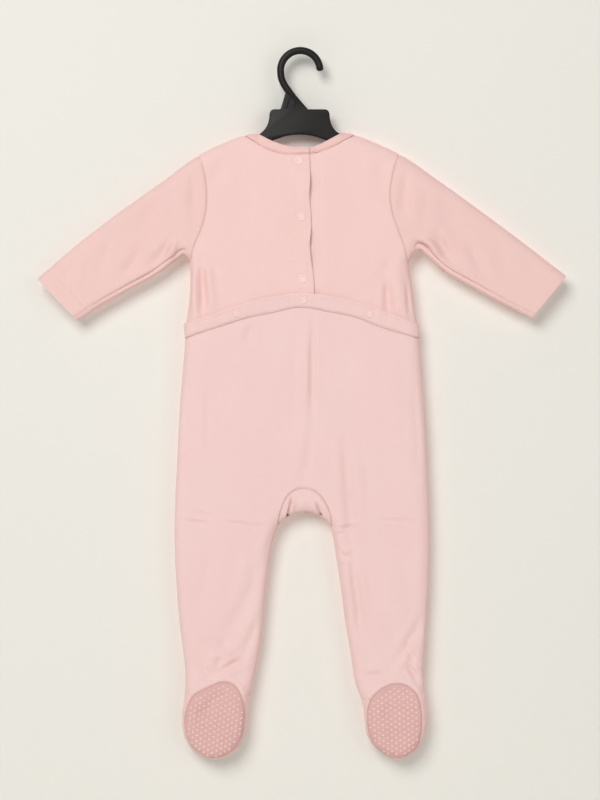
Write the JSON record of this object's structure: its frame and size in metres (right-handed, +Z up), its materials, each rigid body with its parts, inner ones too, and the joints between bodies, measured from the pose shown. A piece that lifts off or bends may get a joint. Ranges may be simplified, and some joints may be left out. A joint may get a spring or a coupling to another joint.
{
  "type": "footed baby sleepsuit on a hanger",
  "caption": "Long-sleeved footed baby sleepsuit with a snapped back placket, buttoned drop seat and dotted soles, hung on a small moulded hanger.",
  "frame": {"origin": "top of the hook's inner curve, where a rail bears, on the hanger's middle plane", "axes": "+Z up along the hang line, +X to the right seen from the suit's back, +Y from the back towards the front of the suit"},
  "size_m": [0.5553, 0.0294, 0.7475],
  "materials": {
    "body_cotton": "pale pink cotton interlock, matt and slightly fuzzy",
    "sleeve_cotton": "pale pink cotton interlock, matt and slightly fuzzy",
    "seat_cotton": "pale pink cotton interlock, matt and slightly fuzzy",
    "binding_cotton": "pale pink cotton binding, topstitched",
    "sole_cotton": "rosy cotton with small raised pale pink grip dots",
    "snap_plastic": "pink ring snaps",
    "hanger_plastic": "black moulded plastic, fine satin"
  },
  "bodies": {
    "root": {"upper_back_left": "body_cotton", "upper_back_right": "body_cotton", "neck_binding": "binding_cotton", "seat_band": "seat_cotton", "front": "body_cotton", "lower_back": "seat_cotton", "crotch_gusset": "seat_cotton", "sleeve_left": "sleeve_cotton", "sleeve_right": "sleeve_cotton", "foot_upper_left": "body_cotton", "foot_upper_right": "body_cotton", "sole_left": "sole_cotton", "sole_right": "sole_cotton", "snap_neck": "snap_plastic", "snap_middle": "snap_plastic", "snap_waist": "snap_plastic", "snap_seat_centre": "snap_plastic", "snap_seat_left": "snap_plastic", "snap_seat_right": "snap_plastic", "hanger": "hanger_plastic"}
  },
  "joints": []
}
